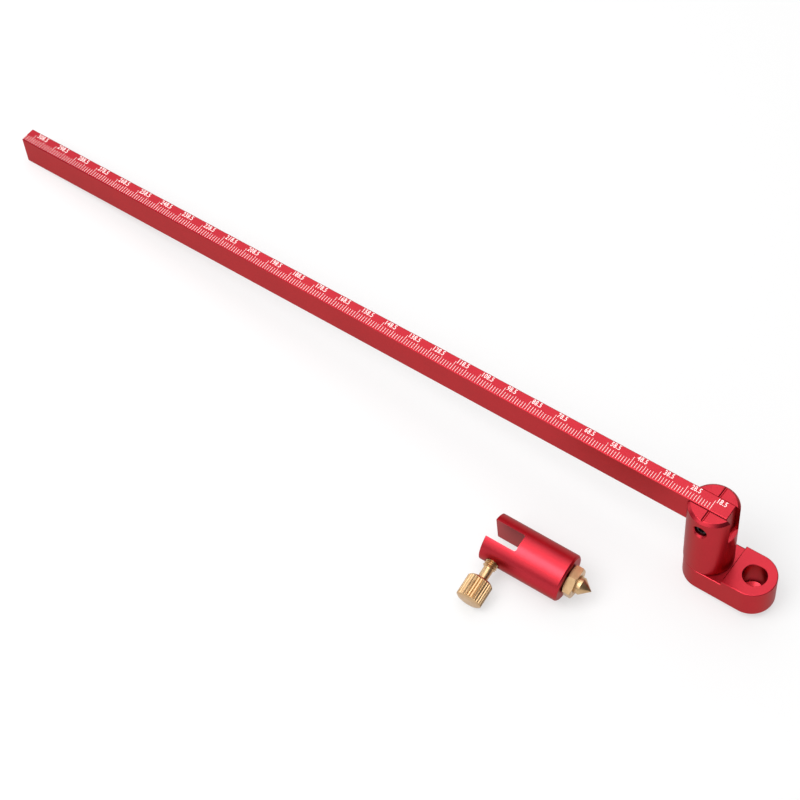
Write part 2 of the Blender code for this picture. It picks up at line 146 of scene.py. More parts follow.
def tool_placement() -> Placement:
    """Return the tool's frame: the foot's underside under the post, X along the bar.

    Returns:
        The placement.
    """
    swivel = joint("foot_swivel")
    along = Vector(joint("bar_slide")["axis"])
    return Placement.from_axes(Vector(swivel["pos_m"]), along, Vector(swivel["axis"]))


def slider_placement(length: float) -> Placement:
    """Return the slider's frame: its slotted end, with X towards its point.

    Args:
        length: Length of the slider's body.

    Returns:
        The placement.
    """
    along = Vector(joint("point_travel")["axis"])
    side = -Vector(joint("thumb_screw_travel")["axis"])
    origin = Vector(joint("nut_turn")["pos_m"]) - along * length
    return Placement.from_axes(origin, along, along.cross(side))


# Nodes


def linear(hex_colour: str) -> tuple[float, float, float, float]:
    """Turn an sRGB hex colour into linear red, green, blue and alpha.

    Args:
        hex_colour: Colour as a hash sign and six hex digits.

    Returns:
        Its linear channels, and an alpha of 1.
    """
    channels = []
    for start in (1, 3, 5):
        value = int(hex_colour[start:start + 2], 16) / 255.0
        channels.append(value / 12.92 if value <= 0.04045 else ((value + 0.055) / 1.055) ** 2.4)
    return (*channels, 1.0)


def add_node(tree: bpy.types.NodeTree, kind: str, inputs: Inputs = (),
             **settings: object) -> bpy.types.Node:
    """Add a node with its settings, its values and its links.

    Args:
        tree: Node tree that gets the node.
        kind: Blender's name for the node.
        inputs: Value, socket or node for each input, by name or in order. A node
            stands for its first output.
        settings: Properties of the node.

    Returns:
        The new node.
    """
    node = tree.nodes.new(kind)
    for key, value in settings.items():
        setattr(node, key, value)
    for key, value in inputs.items() if isinstance(inputs, dict) else enumerate(inputs):
        if isinstance(value, bpy.types.Node):
            value = value.outputs[0]
        if isinstance(value, bpy.types.NodeSocket):
            tree.links.new(value, node.inputs[key])
        else:
            node.inputs[key].default_value = value
    return node


class Lay(Enum):
    """Which way the marks of making run on a surface."""

    LENGTHWAYS = "drawn along the piece"
    ROUND = "turned about the piece's Z axis"
    BLASTED = "blasted, with no direction"


def mark_coordinates(tree: bpy.types.NodeTree, placement: Placement, lay: Lay,
                     stretch: float) -> bpy.types.Node:
    """Add nodes whose coordinates change slowly along the marks and fast across them.

    Args:
        tree: Material's node tree.
        placement: Frame that the piece was built in.
        lay: Which way the marks run.
        stretch: How much longer a mark is than it is wide.

    Returns:
        The node that gives the coordinates, in metres across the marks.
    """
    local = add_node(tree, "ShaderNodeMapping", {
        "Vector": add_node(tree, "ShaderNodeTexCoord").outputs["Object"],
        "Location": placement.matrix.to_translation(),
        "Rotation": placement.matrix.to_euler(),
    }, vector_type="TEXTURE")
    if lay is Lay.BLASTED:
        return local
    x, y, z = add_node(tree, "ShaderNodeSeparateXYZ", [local]).outputs
    slow_x = add_node(tree, MATH, [x, stretch], operation="DIVIDE")
    if lay is Lay.LENGTHWAYS:
        return add_node(tree, VECTOR, [slow_x, y, z])
    # Rings follow the height on a side and the radius on an end face.
    reach = add_node(tree, "ShaderNodeVectorMath", [add_node(tree, VECTOR, [x, y])],
                     operation="LENGTH").outputs["Value"]
    slow_y = add_node(tree, MATH, [y, stretch], operation="DIVIDE")
    return add_node(tree, VECTOR, [slow_x, slow_y, add_node(tree, MATH, [z, reach], operation="ADD")])


def empty_tree(owner: bpy.types.Material | bpy.types.World) -> bpy.types.NodeTree:
    """Give a material or a world a node tree with nothing in it.

    Args:
        owner: Material or world.

    Returns:
        Its node tree.
    """
    owner.use_nodes = True
    owner.node_tree.nodes.clear()
    return owner.node_tree


# Finishes


@dataclass(frozen=True)
class Finish:
    """A metal surface with marks of making, the base of each finish below."""

    title: str
    light: str
    dark: str
    metallic: float
    roughness: tuple[float, float]
    mark_spacing: float
    mark_depth: float
    mark_stretch: float
    grain_spacing: float
    grain_depth: float
    cloud_spacing: float
    mark_share: float = 0.35
    edge_tint: str = PURE_WHITE
    coat: float = 0.0
    coat_roughness: float = 0.0
    coat_ior: float = 1.5

    def make(self, placement: Placement, lay: Lay) -> bpy.types.Material:
        """Build the material for a piece that was built in a placement.

        Args:
            placement: Frame that the piece was built in.
            lay: Which way the marks of making run.

        Returns:
            The material.
        """
        material = bpy.data.materials.new(f"{self.title}_{lay.name.lower()}")
        tree = empty_tree(material)
        along = mark_coordinates(tree, placement, lay, self.mark_stretch)
        plain = mark_coordinates(tree, placement, Lay.BLASTED, 1.0)
        marks, grain, cloud = (
            add_node(tree, NOISE, {"Vector": spots, "Scale": 1.0 / spacing, "Detail": detail})
            for spots, spacing, detail in ((along, self.mark_spacing, MARK_DETAIL),
                                           (plain, self.grain_spacing, GRAIN_DETAIL),
                                           (plain, self.cloud_spacing, CLOUD_DETAIL)))
        clouding = add_node(tree, MATH, [cloud, 1.0 - self.mark_share], operation="MULTIPLY")
        tone = add_node(tree, MATH, [marks, self.mark_share, clouding], operation="MULTIPLY_ADD")
        shade = add_node(tree, SPREAD, [tone, NOISE_LOW, NOISE_HIGH])
        colour = add_node(tree, MIX, {"Factor": shade, "A": linear(self.dark), "B": linear(self.light)},
                          data_type="RGBA")
        fine = add_node(tree, "ShaderNodeBump", {
            "Height": grain, "Strength": 1.0, "Distance": self.grain_depth})
        coarse = add_node(tree, "ShaderNodeBump", {
            "Height": marks, "Strength": 1.0, "Distance": self.mark_depth, "Normal": fine})
        shader = add_node(tree, "ShaderNodeBsdfPrincipled", {
            "Base Color": colour.outputs["Result"],
            "Roughness": add_node(tree, SPREAD, [marks, NOISE_LOW, NOISE_HIGH, *self.roughness]),
            "Metallic": self.metallic,
            "Specular Tint": linear(self.edge_tint),
            "Coat Weight": self.coat,
            "Coat Roughness": self.coat_roughness,
            "Coat IOR": self.coat_ior,
            "Normal": coarse})
        add_node(tree, "ShaderNodeOutputMaterial", [shader])
        return material


# Aluminium, blasted and dyed red in its oxide: deep red metal under a thin clear skin
# that gives soft pink highlights. The real blasting grain is about 0.05 mm and is drawn
# coarser so that it shows.
RED_ANODISED = Finish(
    "red_anodised_aluminium", light="#BC2532", dark="#B42130", metallic=1.0,
    roughness=(0.34, 0.38), mark_spacing=0.35 * MM, mark_depth=0.0015 * MM, mark_stretch=60.0,
    grain_spacing=0.16 * MM, grain_depth=0.001 * MM, cloud_spacing=9.0 * MM,
    edge_tint="#A8323C", coat=0.43, coat_roughness=0.28, coat_ior=1.4)

# Free-cutting brass, turned and left bright: pale gold with rings from the tool. A fine
# feed leaves rings about 0.08 mm apart, and they are drawn coarser so that they show.
TURNED_BRASS = Finish(
    "turned_brass", light="#CEAC82", dark="#B9966E", metallic=1.0,
    roughness=(0.29, 0.36), mark_spacing=0.16 * MM, mark_depth=0.0004 * MM, mark_stretch=40.0,
    grain_spacing=0.3 * MM, grain_depth=0.0003 * MM, cloud_spacing=2.5 * MM)

# Alloy steel, blacked in a hot oxide bath: a dark grey skin with a dull oily sheen. Its
# grain is finer than 0.01 mm and is drawn coarser so that it shows.
BLACK_OXIDE = Finish(
    "black_oxide_steel", light="#2B2B2E", dark="#1D1D20", metallic=0.8,
    roughness=(0.38, 0.5), mark_spacing=0.2 * MM, mark_depth=0.002 * MM, mark_stretch=20.0,
    grain_spacing=0.15 * MM, grain_depth=0.002 * MM, cloud_spacing=1.5 * MM)


@dataclass(frozen=True)
class LaserMark:
    """Oxide bleached by a laser: a matt, slightly pink white with a fine grain.

    The laser's lines are about 0.05 mm apart, and the grain is drawn coarser to show.
    """

    title: str = "laser_bleached_oxide"
    light: str = "#F7E2E0"
    dark: str = "#E9CBCA"
    roughness: float = 0.6
    grain_spacing: float = 0.25 * MM

    def make(self, placement: Placement) -> bpy.types.Material:
        """Build the material for marks on a piece that was built in a placement.

        Args:
            placement: Frame that the marks were built in.

        Returns:
            The material.
        """
        material = bpy.data.materials.new(self.title)
        tree = empty_tree(material)
        grain = add_node(tree, NOISE, {
            "Vector": mark_coordinates(tree, placement, Lay.BLASTED, 1.0),
            "Scale": 1.0 / self.grain_spacing, "Detail": MARK_DETAIL})
        shade = add_node(tree, SPREAD, [grain, NOISE_LOW, NOISE_HIGH])
        colour = add_node(tree, MIX, {"Factor": shade, "A": linear(self.dark), "B": linear(self.light)},
                          data_type="RGBA")
        shader = add_node(tree, "ShaderNodeBsdfPrincipled", {
            "Base Color": colour.outputs["Result"], "Roughness": self.roughness})
        add_node(tree, "ShaderNodeOutputMaterial", [shader])
        return material


# Meshes


def softened(profile: Profile, reach: float) -> list[tuple[float, float]]:
    """Round the corners of a turned profile.

    Args:
        profile: Points of radius and height, with its first and last on the axis.
        reach: How far from each corner its rounding starts.

    Returns:
        The profile with a short curve in place of each corner.
    """
    points = [Vector(point) for point in profile]
    rounded = [points[0]]
    for before, corner, after in zip(points, points[1:], points[2:]):
        start = corner.lerp(before, min(MOST_ROUNDED, reach / (before - corner).length))
        end = corner.lerp(after, min(MOST_ROUNDED, reach / (after - corner).length))
        for step in range(RIM_STEPS + 1):
            share = step / RIM_STEPS
            rounded.append(start.lerp(corner, share).lerp(corner.lerp(end, share), share))
    rounded.append(points[-1])
    return [(point.x, point.y) for point in rounded]


def with_rows(profile: Profile, spacing: float, low: float, high: float
              ) -> list[tuple[float, float]]:
    """Split the edges of a profile between two heights into rows.

    Args:
        profile: Points of radius and height.
        spacing: Greatest length of an edge between the heights.
        low: Lower height.
        high: Upper height.

    Returns:
        The profile with the added points.
    """
    rows = [tuple(profile[0])]
    for start, end in zip(profile, profile[1:]):
        inside = low - WELD <= min(start[1], end[1]) and max(start[1], end[1]) <= high + WELD
        count = max(1, math.ceil(math.dist(start, end) / spacing)) if inside else 1
        for step in range(1, count + 1):
            share = step / count
            rows.append((start[0] + (end[0] - start[0]) * share,
                         start[1] + (end[1] - start[1]) * share))
    return rows


def rod(radius: float, low: float, high: float, low_tip: float = 0.0,
        high_tip: float = 0.0) -> Profile:
    """Return the profile of a rod, whose ends are flat or coned as a drill leaves them."""
    return [(0.0, low - low_tip), (radius, low), (radius, high), (0.0, high + high_tip)]


def turned(profile: Profile, steps: int, turn: Matrix = UPRIGHT) -> bmesh.types.BMesh:
    """Turn a profile about Z.

    Args:
        profile: Points of radius and height, lowest first.
        steps: Number of sides.
        turn: Matrix that puts the turned shape in its piece.

    Returns:
        The closed shape.
    """
    shape = bmesh.new()
    points = [shape.verts.new((radius, 0.0, height)) for radius, height in profile]
    edges = [shape.edges.new(pair) for pair in zip(points, points[1:])]
    bmesh.ops.spin(shape, geom=points + edges, cent=(0, 0, 0), axis=(0, 0, 1),
                   angle=math.tau, steps=steps, use_merge=True)
    bmesh.ops.remove_doubles(shape, verts=shape.verts, dist=WELD)
    bmesh.ops.recalc_face_normals(shape, faces=shape.faces)
    bmesh.ops.transform(shape, matrix=turn, verts=shape.verts)
    return shape


def prism(outline: Profile, low: float, high: float, turn: Matrix = UPRIGHT) -> bmesh.types.BMesh:
    """Raise a flat outline between two heights.

    Args:
        outline: Points of the outline, counter-clockwise.
        low: Lower height.
        high: Upper height.
        turn: Matrix that puts the raised shape in its piece.

    Returns:
        The closed shape.
    """
    shape = bmesh.new()
    base = shape.faces.new([shape.verts.new((x, y, low)) for x, y in outline])
    raised = bmesh.ops.extrude_face_region(shape, geom=[base])["geom"]
    top = [item for item in raised if isinstance(item, bmesh.types.BMVert)]
    bmesh.ops.translate(shape, vec=(0, 0, high - low), verts=top)
    bmesh.ops.recalc_face_normals(shape, faces=shape.faces)
    bmesh.ops.transform(shape, matrix=turn, verts=shape.verts)
    return shape


def rectangle(x_low: float, x_high: float, y_low: float, y_high: float) -> Profile:
    """Return the outline of a rectangle, counter-clockwise."""
    return [(x_low, y_low), (x_high, y_low), (x_high, y_high), (x_low, y_high)]


def arc(centre: tuple[float, float], radius: float, start: float, sweep: float,
        steps: int) -> list[tuple[float, float]]:
    """Return points on an arc, both ends included.

    Args:
        centre: Centre of the arc.
        radius: Its radius.
        start: Angle of its first point.
        sweep: Angle from its first point to its last.
        steps: Number of straight pieces.

    Returns:
        The points.
    """
    angles = [start + sweep * step / steps for step in range(steps + 1)]
    return [(centre[0] + radius * math.cos(angle), centre[1] + radius * math.sin(angle))
            for angle in angles]


def hexagon_radius(across_flats: float) -> float:
    """Return the corner radius of a hexagon from its width across flats."""
    return across_flats / 2 / math.cos(math.pi / HEX_SIDES)


def new_object(name: str, shape: bmesh.types.BMesh) -> bpy.types.Object:
    """Turn a bmesh into an object of the scene.

    Args:
        name: Name of the object.
        shape: Its mesh, which is freed.

    Returns:
        The object.
    """
    mesh = bpy.data.meshes.new(name)
    shape.to_mesh(mesh)
    shape.free()
    obj = bpy.data.objects.new(name, mesh)
    bpy.context.scene.collection.objects.link(obj)
    return obj


def finished_mesh(obj: bpy.types.Object) -> bpy.types.Mesh:
    """Make a mesh of an object as its modifiers leave it.

    Args:
        obj: Object, which stays as it is.

    Returns:
        The new mesh.
    """
    bpy.context.view_layer.update()
    depsgraph = bpy.context.evaluated_depsgraph_get()
    return bpy.data.meshes.new_from_object(obj.evaluated_get(depsgraph))


def bake_modifiers(obj: bpy.types.Object) -> None:
    """Replace an object's mesh by the one that its modifiers make, and remove them.

    Args:
        obj: Object with modifiers.
    """
    mesh = finished_mesh(obj)
    obj.modifiers.clear()
    obj.data = mesh


def combine(obj: bpy.types.Object, cutters: Sequence[bmesh.types.BMesh],
            operation: str = "DIFFERENCE") -> None:
    """Cut shapes out of an object, or keep what lies inside them.

    Args:
        obj: Object that is cut.
        cutters: Shapes in the object's own frame.
        operation: Blender's name for the operation.
    """
    tools = []
    for shape in cutters:
        tool = new_object(f"{obj.name}_cutter", shape)
        modifier = obj.modifiers.new("cut", "BOOLEAN")
        modifier.operation = operation
        modifier.solver = "EXACT"
        modifier.object = tool
        tools.append(tool)
    bake_modifiers(obj)
    for tool in tools:
        bpy.data.objects.remove(tool, do_unlink=True)


def ease_edges(obj: bpy.types.Object, width: float, angle: float = EASED_ANGLE) -> None:
    """Round the sharp edges of an object, as tumbling and blasting do.

    Args:
        obj: Object whose edges are rounded.
        width: Width of the rounding.
        angle: Smallest angle of an edge that is rounded.
    """
    shape = bmesh.new()
    shape.from_mesh(obj.data)
    bmesh.ops.remove_doubles(shape, verts=shape.verts, dist=CUT_WELD)
    bmesh.ops.dissolve_limit(shape, angle_limit=FLAT_ANGLE, verts=shape.verts, edges=shape.edges)
    shape.to_mesh(obj.data)
    shape.free()
    modifier = obj.modifiers.new("ease", "BEVEL")
    modifier.width = width
    modifier.segments = EASE_STEPS
    modifier.limit_method = "ANGLE"
    modifier.angle_limit = angle
    modifier.use_clamp_overlap = True
    modifier.miter_outer = "MITER_ARC"
    bake_modifiers(obj)


# Geometry Nodes


def geometry_tree(name: str, **sockets: str) -> bpy.types.NodeTree:
    """Make an empty Geometry Nodes tree with named inputs.

    Args:
        name: Name of the tree.
        sockets: Kind of each input after the geometry, by name.

    Returns:
        The tree.
    """
    tree = bpy.data.node_groups.new(name, "GeometryNodeTree")
    for title, kind in (("Geometry", "Geometry"), *sockets.items()):
        tree.interface.new_socket(title, in_out="INPUT", socket_type=f"NodeSocket{kind}")
    tree.interface.new_socket("Geometry", in_out="OUTPUT", socket_type="NodeSocketGeometry")
    return tree


def close_tree(tree: bpy.types.NodeTree, geometry: bpy.types.Node,
               material: bpy.types.NodeSocket) -> None:
    """End a tree in Realize Instances and Set Material.

    Args:
        tree: Geometry Nodes tree.
        geometry: Last node that shapes its geometry.
        material: Socket that gives the material.
    """
    realised = add_node(tree, "GeometryNodeRealizeInstances", [geometry])
    dressed = add_node(tree, "GeometryNodeSetMaterial", {"Geometry": realised, "Material": material})
    add_node(tree, "NodeGroupOutput", [dressed])


def run_tree(obj: bpy.types.Object, tree: bpy.types.NodeTree, values: dict[str, object]) -> None:
    """Run a Geometry Nodes tree on an object and keep its result as a plain mesh.

    Args:
        obj: Object that carries the tree.
        tree: Geometry Nodes tree.
        values: Value of each named input.
    """
    modifier = obj.modifiers.new(tree.name, "NODES")
    modifier.node_group = tree
    for socket in tree.interface.items_tree:
        if socket.in_out == "INPUT" and socket.name in values:
            modifier[socket.identifier] = values[socket.name]
    bake_modifiers(obj)


def scale_tree() -> bpy.types.NodeTree:
    """Build the tree that draws the scale's marks, every fifth and tenth one longer.

    Returns:
        The tree.
    """
    tree = geometry_tree("scale_marks", Count="Int", Pitch="Float", Width="Float",
                         Thickness="Float", Short="Float", Middle="Float", Long="Float",
                         Material="Material")
    given = add_node(tree, "NodeGroupInput").outputs
    back = add_node(tree, MATH, [given["Pitch"], -1.0], operation="MULTIPLY")
    line = add_node(tree, "GeometryNodeMeshLine", {
        "Count": given["Count"], "Offset": add_node(tree, VECTOR, [back])})
    index = add_node(tree, "GeometryNodeInputIndex")
    length = given["Short"]
    for every, longer in ((MIDDLE_EVERY, given["Middle"]), (LONG_EVERY, given["Long"])):
        rest = add_node(tree, MATH, [index, every], operation="MODULO")
        hit = add_node(tree, MATH, [rest, 0.5], operation="LESS_THAN")
        gain = add_node(tree, MATH, [longer, length], operation="SUBTRACT")
        length = add_node(tree, MATH, [gain, hit, length], operation="MULTIPLY_ADD")
    # A mark is a block of one metre whose foot stands on its point, scaled to its size.
    block = add_node(tree, "GeometryNodeTransform", {
        "Geometry": add_node(tree, "GeometryNodeMeshCube"), "Translation": (0.0, 0.5, 0.0)})
    marks = add_node(tree, "GeometryNodeInstanceOnPoints", {
        "Points": line, "Instance": block,
        "Scale": add_node(tree, VECTOR, [given["Width"], length, given["Thickness"]])})
    close_tree(tree, marks, given["Material"])
    return tree


def groove_tree() -> bpy.types.NodeTree:
    """Build the tree that cuts threads and knurls into a turned blank.

    A point between the two heights moves in to the groove's surface where it lies
    outside it, so that a chamfer on the blank runs each groove out as on a real screw.

    Returns:
        The tree.
    """
    tree = geometry_tree("cut_grooves", Radius="Float", Depth="Float", Starts="Float",
                         Turns="Float", Crest="Float", Valley="Float", Low="Float",
                         High="Float", Material="Material")
    given = add_node(tree, "NodeGroupInput").outputs
    spot = add_node(tree, "GeometryNodeInputPosition")
    x, y, z = add_node(tree, "ShaderNodeSeparateXYZ", [spot]).outputs
    # How far round the groove a point is: 0 on the crest, 1 in the middle of the valley.
    angle = add_node(tree, MATH, [y, x], operation="ARCTAN2")
    turn = add_node(tree, MATH, [angle, math.tau], operation="DIVIDE")
    across = add_node(tree, MATH, [turn, given["Starts"]], operation="MULTIPLY")
    climb = add_node(tree, MATH, [z, given["Turns"]], operation="MULTIPLY")
    way = add_node(tree, MATH, [across, climb], operation="SUBTRACT")
    phase = add_node(tree, MATH, [way], operation="FRACT")
    swing = add_node(tree, MATH, [phase, 2.0, -1.0], operation="MULTIPLY_ADD")
    from_crest = add_node(tree, MATH, [swing], operation="ABSOLUTE")
    # The groove's surface: flat on the crest and in the valley, straight between them.
    bottom = add_node(tree, MATH, [1.0, given["Valley"]], operation="SUBTRACT")
    fall = add_node(tree, SPREAD, [from_crest, given["Crest"], bottom])
    sunk = add_node(tree, MATH, [fall, given["Depth"]], operation="MULTIPLY")
    surface = add_node(tree, MATH, [given["Radius"], sunk], operation="SUBTRACT")
    # The point moves straight in towards the axis, and never out.
    reach = add_node(tree, "ShaderNodeVectorMath", [add_node(tree, VECTOR, [x, y])],
                     operation="LENGTH").outputs["Value"]
    nearer = add_node(tree, MATH, [reach, surface], operation="MINIMUM")
    whole = add_node(tree, MATH, [reach, WELD], operation="MAXIMUM")
    ratio = add_node(tree, MATH, [nearer, whole], operation="DIVIDE")
    moved_x, moved_y = (add_node(tree, MATH, [side, ratio], operation="MULTIPLY") for side in (x, y))
    above = add_node(tree, MATH, [z, given["Low"]], operation="GREATER_THAN")
    below = add_node(tree, MATH, [z, given["High"]], operation="LESS_THAN")
    cut = add_node(tree, "GeometryNodeSetPosition", {
        "Geometry": given["Geometry"],
        "Selection": add_node(tree, MATH, [above, below], operation="MULTIPLY"),
        "Position": add_node(tree, VECTOR, [moved_x, moved_y, z])})
    close_tree(tree, cut, given["Material"])
    return tree


@dataclass(frozen=True)
class Grooves:
    """A thread or a straight knurl that is cut into a turned blank."""

    radius: float
    depth: float
    low: float
    high: float
    pitch: float = 0.0
    ribs: int = 1
    crest: float = 0.12
    valley: float = 0.12

    @classmethod
    def thread(cls, radius: float, pitch: float, low: float, high: float) -> Grooves:
        """Return a thread of standard depth between two heights."""
        return cls(radius, THREAD_DEPTH * pitch, low, high, pitch=pitch)

    def cut(self, obj: bpy.types.Object, tree: bpy.types.NodeTree,
            material: bpy.types.Material) -> None:
        """Cut the grooves into an object whose mesh stands on its own Z axis.

        Args:
            obj: Object that is cut.
            tree: The tree that cuts grooves.
            material: Material of the result.
        """
        run_tree(obj, tree, {
            "Radius": self.radius, "Depth": self.depth, "Starts": float(self.ribs),
            "Turns": 1.0 / self.pitch if self.pitch else 0.0, "Crest": self.crest,
            "Valley": self.valley, "Low": self.low, "High": self.high, "Material": material})


# Finished pieces


@dataclass(frozen=True)
class Piece:
    """What a finished mesh is called, what it rides on and which solid it stands for."""

    name: str
    body: str
    slot: str
    stands_for: str = ""


def place(obj: bpy.types.Object, piece: Piece, placement: Placement,
          material: bpy.types.Material) -> None:
    """Put a finished mesh in the part's frame and hand it to its body.

    Args:
        obj: Object whose mesh is built in the placement's frame.
        piece: Its name, body, material slot and solid.
        placement: Frame that the mesh was built in.
        material: Its finish.
    """
    mesh = obj.data
    mesh.materials.clear()
    mesh.materials.append(material)
    mesh.polygons.foreach_set("material_index", [0] * len(mesh.polygons))
    mesh.transform(placement.matrix)
    mesh.shade_smooth()
    mesh.set_sharp_from_angle(angle=SMOOTH_ANGLE)
    # Normals follow the large faces, so that small eased edges leave them true.
    modifier = obj.modifiers.new("true_faces", "WEIGHTED_NORMAL")
    modifier.keep_sharp = True
    bake_modifiers(obj)
    obj.data.name = piece.name
    obj.name = piece.name
    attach(obj, piece.body)
    if piece.stands_for:
        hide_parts(piece.stands_for)
    LOG.info("%s: %d faces, rides on %s", piece.name, len(obj.data.polygons), piece.body)


@dataclass(frozen=True)
class GraduatedBar:
    """The bar: a chamfered red flat with a white scale in millimetres on its top."""

    length: float = 300.0 * MM
    width: float = 6.0 * MM
    height: float = 11.5 * MM
    bottom: float = 27.7 * MM
    past_axis: float = 6.3 * MM
    chamfer: float = 0.25 * MM
    easing: float = 0.05 * MM
    first_mark: float = -0.2 * MM
    mark_count: int = 294
    mark_pitch: float = 1.0 * MM
    mark_width: float = 0.15 * MM
    mark_foot: float = -2.6 * MM
    short_mark: float = 2.3 * MM
    middle_mark: float = 2.7 * MM
    long_mark: float = 3.8 * MM
    ink: float = 0.03 * MM
    label_count: int = 30
    first_label: float = 18.5
    label_step: float = 10.0
    label_foot: float = 0.62 * MM
    label_height: float = 1.95 * MM
    label_narrowing: float = 0.72
    label_boldness: float = 0.03 * MM
    label_spacing: float = 1.12
    label_gaps: tuple[tuple[float, float], ...] = (
        (18.5, 0.7 * MM), (28.5, 1.0 * MM), (78.5, 0.45 * MM), (108.5, 0.6 * MM),
        (158.5, 0.9 * MM), (208.5, 0.6 * MM), (288.5, 0.85 * MM))

    def build(self, placement: Placement) -> None:
        """Build the bar, its marks and its numerals, and dress them.

        Args:
            placement: The tool's frame.
        """
        self.build_flat(placement)
        on_top = placement.moved(z=self.bottom + self.height)
        paint = LaserMark().make(on_top)
        self.build_marks(on_top, paint)
        self.build_numerals(on_top, paint)

    def build_flat(self, placement: Placement) -> None:
        """Build the chamfered flat.

        Args:
            placement: The tool's frame.
        """
        half = self.width / 2
        shape = prism(rectangle(self.past_axis - self.length, self.past_axis, -half, half),
                      self.bottom, self.bottom + self.height)
        bmesh.ops.bevel(shape, geom=shape.edges, offset=self.chamfer, affect="EDGES",
                        offset_type="OFFSET", segments=1, profile=0.5, clamp_overlap=True)
        obj = new_object("flat", shape)
        ease_edges(obj, self.easing)
        place(obj, Piece("bar_flat", "bar", "red_aluminium", "bar"), placement,
              RED_ANODISED.make(placement, Lay.LENGTHWAYS))

    def build_marks(self, placement: Placement, paint: bpy.types.Material) -> None:
        """Draw the millimetre marks, from the post's axis to the far end.

        Args:
            placement: Frame on the top of the bar.
            paint: Material of the marks.
        """
        obj = new_object("marks", bmesh.new())
        run_tree(obj, scale_tree(), {
            "Count": self.mark_count, "Pitch": self.mark_pitch, "Width": self.mark_width,
            "Thickness": self.ink, "Short": self.short_mark, "Middle": self.middle_mark,
            "Long": self.long_mark, "Material": paint})
        obj.data.transform(Matrix.Translation((self.first_mark, self.mark_foot, 0.0)))
        place(obj, Piece("bar_marks", "bar", "red_aluminium"), placement, paint)

    def build_numerals(self, placement: Placement, paint: bpy.types.Material) -> None:
        """Write the number beside each long mark.

        Args:
            placement: Frame on the top of the bar.
            paint: Material of the numerals.
        """
        shape = bmesh.new()
        for index in range(self.label_count):
            number = self.first_label + self.label_step * index
            mesh = self.numeral_mesh(f"{number:g}")
            gap = [width for start, width in self.label_gaps if start <= number][-1]
            left = self.first_mark - self.label_step * self.mark_pitch * index + gap
            mesh.transform(Matrix.Translation((left, self.label_foot, 0.0)))
            shape.from_mesh(mesh)
            bpy.data.meshes.remove(mesh)
        bmesh.ops.remove_doubles(shape, verts=shape.verts, dist=WELD)
        bmesh.ops.recalc_face_normals(shape, faces=shape.faces)
        place(new_object("numerals", shape), Piece("bar_numerals", "bar", "red_aluminium"),
              placement, paint)

    def numeral_mesh(self, text: str) -> bpy.types.Mesh:
        """Make one number as a thin mesh with its lower left corner at the origin.

        Args:
            text: The number.

        Returns:
            The mesh.
        """
        curve = bpy.data.curves.new(text, "FONT")
        curve.body = text
        curve.resolution_u = LETTER_STEPS
        curve.space_character = self.label_spacing
        curve.offset = self.label_boldness / self.label_height
        curve.extrude = self.ink / 2 / self.label_height
        obj = bpy.data.objects.new(text, curve)
        bpy.context.scene.collection.objects.link(obj)
        mesh = finished_mesh(obj)
        bpy.data.objects.remove(obj, do_unlink=True)
        low_x = min(vertex.co.x for vertex in mesh.vertices)
        low_y = min(vertex.co.y for vertex in mesh.vertices)
        high_y = max(vertex.co.y for vertex in mesh.vertices)
        size = self.label_height / (high_y - low_y)
        mesh.transform(Matrix.Diagonal((size * self.label_narrowing, size, self.label_height, 1.0))
                       @ Matrix.Translation((-low_x, -low_y, 0.0)))
        return mesh


